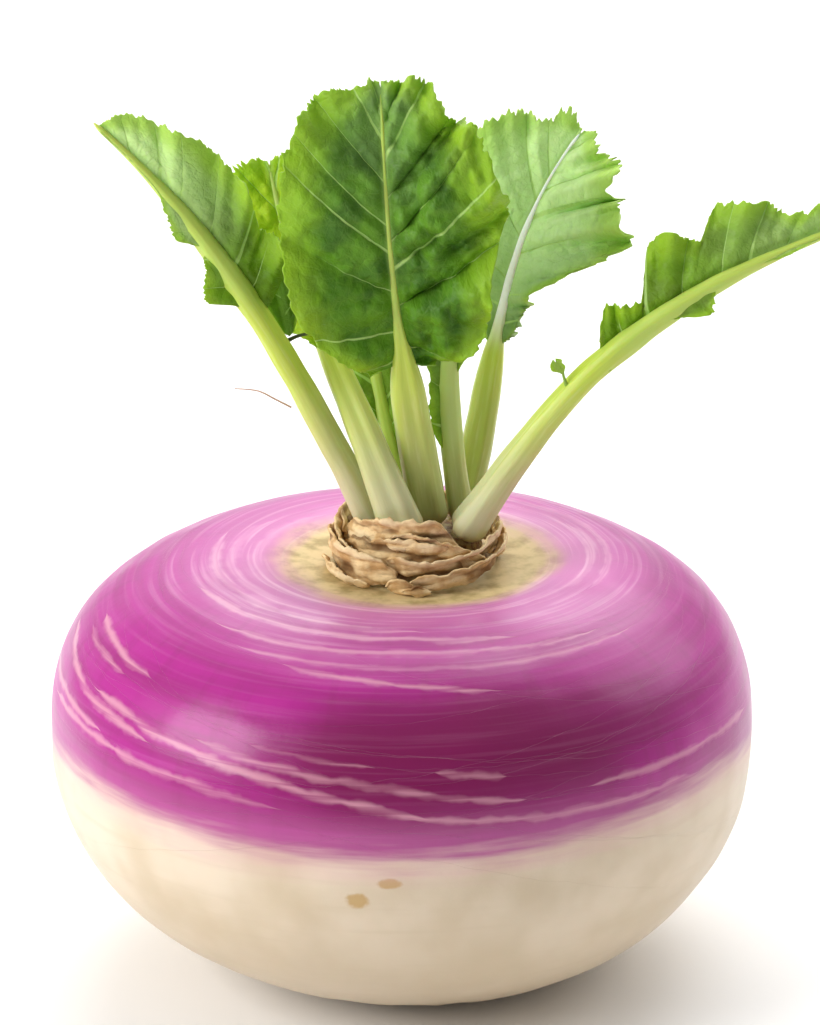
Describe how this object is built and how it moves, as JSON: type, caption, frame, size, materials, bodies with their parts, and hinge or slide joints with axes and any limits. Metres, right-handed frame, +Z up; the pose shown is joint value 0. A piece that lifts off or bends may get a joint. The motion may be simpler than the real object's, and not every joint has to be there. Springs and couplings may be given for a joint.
{
  "type": "turnip",
  "caption": "whole purple-top turnip with its leaves on: squat root, purple above and cream below, dry husks round the crown, pale stalks fanning up into lobed green leaves",
  "frame": {"origin": "centre of the flat spot under the root, on the surface it rests on", "axes": "+Z up along the root's axis, +X to the right seen from the front, -Y towards the front"},
  "size_m": [0.1115, 0.0989, 0.1291],
  "materials": {
    "root_skin": "smooth waxy root skin, magenta purple on the upper half with fine pale rings, cream below",
    "dry_husk": "dry, crumpled and papery, tan to brown, matte",
    "leaf_stalk": "smooth, moist and ribbed, whitish at the foot and lime green above",
    "leaf_blade": "fresh green leaf, puckered between pale veins, soft sheen, yellow-green at the margin"
  },
  "bodies": {
    "root": {"root": "root_skin", "front_husk": "dry_husk", "left_husk": "dry_husk", "right_front_husk": "dry_husk", "right_husk": "dry_husk", "back_husk": "dry_husk", "back_left_husk": "dry_husk", "left_stalk": "leaf_stalk", "left_blade": "leaf_blade", "back_left_stalk": "leaf_stalk", "back_left_blade": "leaf_blade", "back_stalk": "leaf_stalk", "back_blade": "leaf_blade", "centre_stalk": "leaf_stalk", "centre_blade": "leaf_blade", "inner_stalk": "leaf_stalk", "inner_blade": "leaf_blade", "back_right_stalk": "leaf_stalk", "back_right_blade": "leaf_blade", "right_stalk": "leaf_stalk", "right_blade": "leaf_blade", "left_leaflet": "leaf_blade", "right_leaflet": "leaf_blade"}
  },
  "joints": []
}
